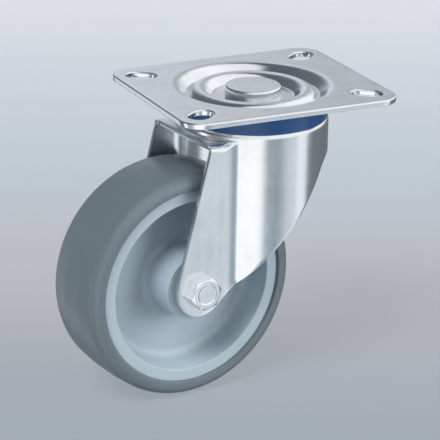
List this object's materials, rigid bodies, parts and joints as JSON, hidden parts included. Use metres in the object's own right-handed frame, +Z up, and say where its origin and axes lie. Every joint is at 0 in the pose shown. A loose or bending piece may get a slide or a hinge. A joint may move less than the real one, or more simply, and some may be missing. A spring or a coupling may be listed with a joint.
{
  "type": "swivel castor",
  "caption": "Swivel castor with a slotted rectangular top plate, a pressed fork on two ball races, a dust ring and a soft-tyred plastic wheel.",
  "frame": {"origin": "centre of the top plate's mounting face, on the swivel axis", "axes": "+Z up and out of the mounting face, +X along the plate's long side, away from the trailing wheel; the fork rests swivelled 7 degrees about +Z"},
  "size_m": [0.1399, 0.085, 0.1291],
  "materials": {
    "plate": "bright zinc plating on pressed steel",
    "fork": "bright zinc plating on pressed steel",
    "pin": "bright zinc plating, riveted head",
    "race": "hardened and zinc-plated steel",
    "balls": "hardened steel balls, greased",
    "fastener": "zinc-plated steel",
    "tube": "plain steel tube",
    "ring": "blue moulded plastic",
    "rim": "pale blue-grey moulded plastic",
    "tyre": "grey thermoplastic rubber, satin"
  },
  "bodies": {
    "root": {"top_plate": "plate", "kingpin": "pin", "lower_race": "race"},
    "swivel": {"fork": "fork", "dust_ring": "ring", "axle_bolt": "fastener", "axle_nut": "fastener", "axle_tube": "tube"},
    "wheel": {"rim": "rim", "tyre": "tyre"},
    "upper_ball_row": {"upper_ball_01": "balls", "upper_ball_02": "balls", "upper_ball_03": "balls", "upper_ball_04": "balls", "upper_ball_05": "balls", "upper_ball_06": "balls", "upper_ball_07": "balls", "upper_ball_08": "balls", "upper_ball_09": "balls", "upper_ball_10": "balls", "upper_ball_11": "balls", "upper_ball_12": "balls", "upper_ball_13": "balls", "upper_ball_14": "balls", "upper_ball_15": "balls", "upper_ball_16": "balls", "upper_ball_17": "balls", "upper_ball_18": "balls"},
    "lower_ball_row": {"lower_ball_01": "balls", "lower_ball_02": "balls", "lower_ball_03": "balls", "lower_ball_04": "balls", "lower_ball_05": "balls", "lower_ball_06": "balls", "lower_ball_07": "balls", "lower_ball_08": "balls", "lower_ball_09": "balls", "lower_ball_10": "balls", "lower_ball_11": "balls", "lower_ball_12": "balls", "lower_ball_13": "balls", "lower_ball_14": "balls"}
  },
  "joints": [
    {"name": "swivel_turn", "type": "hinge", "parent": "root", "child": "swivel", "pos_m": [0, 0, 0], "axis": [0, 0, 1], "continuous": true},
    {"name": "wheel_spin", "type": "hinge", "parent": "swivel", "child": "wheel", "pos_m": [-0.03921, -0.00481, -0.0791], "axis": [-0.1219, 0.9925, 0], "continuous": true},
    {"name": "upper_row_turn", "type": "hinge", "parent": "root", "child": "upper_ball_row", "pos_m": [0, 0, 0], "axis": [0, 0, 1], "continuous": true},
    {"name": "lower_row_turn", "type": "hinge", "parent": "root", "child": "lower_ball_row", "pos_m": [0, 0, 0], "axis": [0, 0, 1], "continuous": true}
  ],
  "couplings": [
    {"joint": "upper_row_turn", "follows": "swivel_turn", "ratio": 0.5},
    {"joint": "lower_row_turn", "follows": "swivel_turn", "ratio": 0.5}
  ]
}
